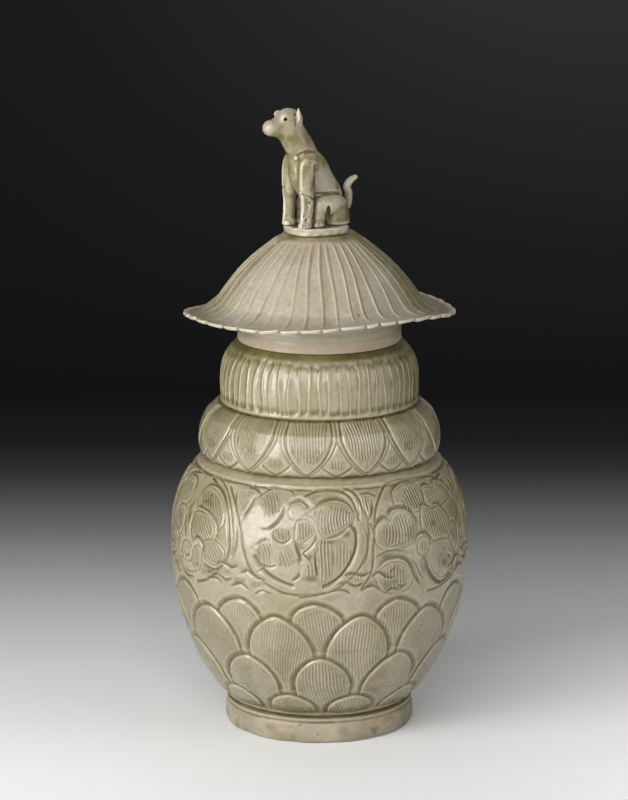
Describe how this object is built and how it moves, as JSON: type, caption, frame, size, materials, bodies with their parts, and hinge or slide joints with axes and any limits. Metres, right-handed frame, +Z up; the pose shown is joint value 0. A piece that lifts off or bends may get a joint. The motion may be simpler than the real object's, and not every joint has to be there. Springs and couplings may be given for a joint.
{
  "type": "lidded jar",
  "caption": "Stoneware storage jar with a round carved belly, stepped shoulder tiers and a hat-shaped lid with a seated dog as its knob.",
  "frame": {"origin": "on the ground under the centre of the foot ring", "axes": "+Z up along the jar's axis, the viewed front towards -Y, +X to the right seen from the front"},
  "size_m": [0.1824, 0.1824, 0.3819],
  "materials": {
    "olive_glaze": "gloss",
    "grey_glaze": "gloss",
    "thin_glaze": "satin"
  },
  "bodies": {
    "jar": {"foot_ring": "thin_glaze", "belly": "olive_glaze", "lower_shoulder_tier": "olive_glaze", "upper_shoulder_tier": "olive_glaze", "mouth_neck": "thin_glaze"},
    "lid": {"lid_collar": "thin_glaze", "lid_canopy": "grey_glaze", "finial_plinth": "grey_glaze", "dog_torso": "grey_glaze", "dog_neck_and_head": "grey_glaze", "dog_ear_left": "grey_glaze", "dog_ear_right": "grey_glaze", "dog_foreleg_left": "grey_glaze", "dog_foreleg_right": "grey_glaze", "dog_hindleg_left": "grey_glaze", "dog_hindleg_right": "grey_glaze", "dog_tail": "grey_glaze"}
  },
  "joints": [
    {"name": "lid_lift", "type": "slide", "parent": "jar", "child": "lid", "axis": [0, 0, 1], "range_m": [0, 0.12]}
  ]
}
